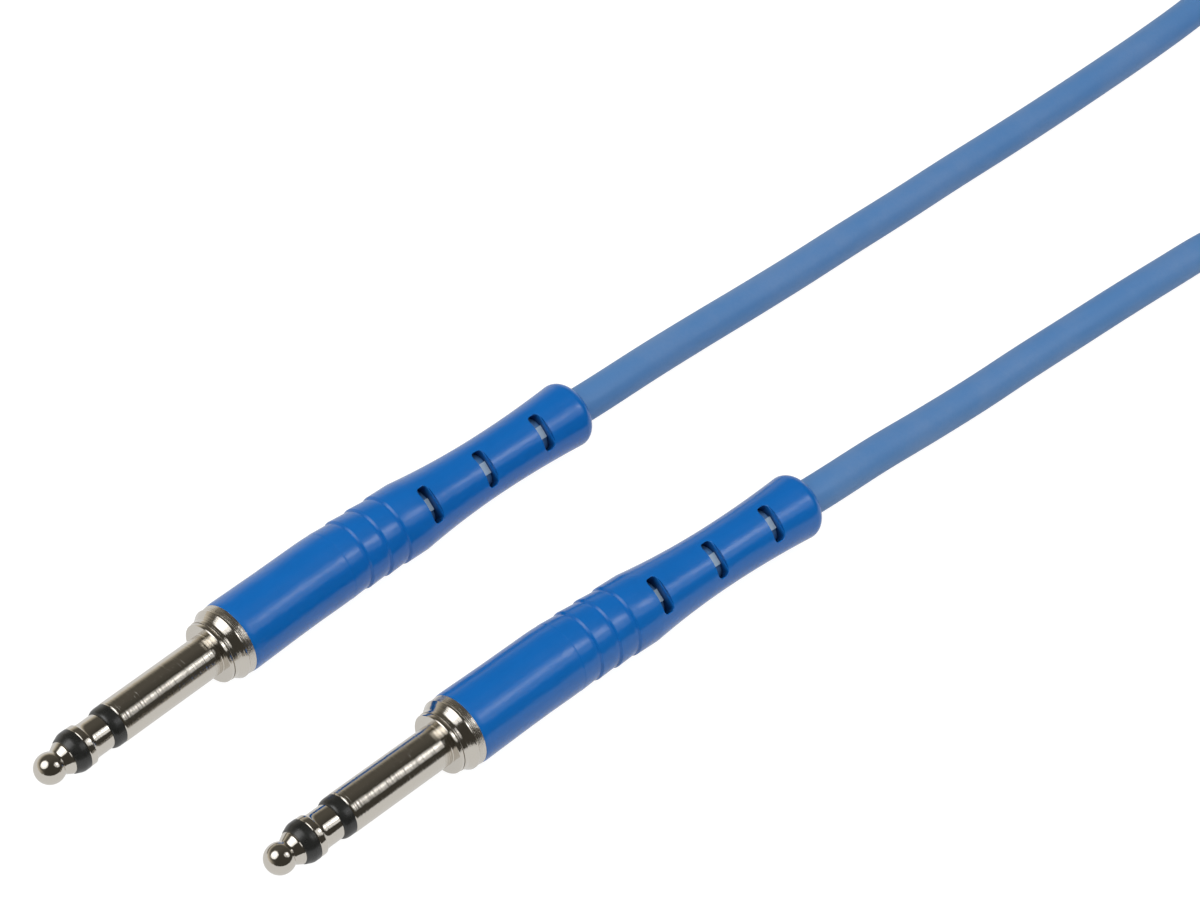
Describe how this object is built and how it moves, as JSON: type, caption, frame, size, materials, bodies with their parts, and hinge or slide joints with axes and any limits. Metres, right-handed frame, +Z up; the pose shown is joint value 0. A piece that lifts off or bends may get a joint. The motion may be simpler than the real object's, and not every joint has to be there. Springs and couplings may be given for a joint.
{
  "type": "patch cable",
  "caption": "Short audio patch cable: identical three-contact miniature plugs with slotted, waisted handles on one thin round cord.",
  "frame": {"origin": "on the floor under the middle of the two plugs, taken without the cord", "axes": "+X from the tips of the plugs to their cord, +Y from plug B to plug A, +Z up from the floor"},
  "size_m": [0.2283, 0.0569, 0.0084],
  "materials": {
    "contact_metal": "nickel plated and polished",
    "insulator": "satin black",
    "lug_metal": "tinned brass",
    "copper": "bare braided copper",
    "core_red": "red wire insulation",
    "core_white": "white wire insulation",
    "jacket": "matte blue soft plastic",
    "handle": "satin blue soft plastic, lettering left bare"
  },
  "bodies": {
    "root": {"a_tip_contact": "contact_metal", "a_tip_insulator": "insulator", "a_ring_contact": "contact_metal", "a_ring_insulator": "insulator", "a_sleeve": "contact_metal", "a_tip_lug": "lug_metal", "a_ring_lug": "lug_metal", "a_tip_core": "core_red", "a_ring_core": "core_white", "a_braid": "copper", "a_crimp_ring": "lug_metal", "a_cable_end": "jacket", "a_handle": "handle", "b_tip_contact": "contact_metal", "b_tip_insulator": "insulator", "b_ring_contact": "contact_metal", "b_ring_insulator": "insulator", "b_sleeve": "contact_metal", "b_tip_lug": "lug_metal", "b_ring_lug": "lug_metal", "b_tip_core": "core_red", "b_ring_core": "core_white", "b_braid": "copper", "b_crimp_ring": "lug_metal", "b_cable_end": "jacket", "b_handle": "handle", "lead_a": "jacket", "coil": "jacket", "lead_b": "jacket"}
  },
  "joints": []
}
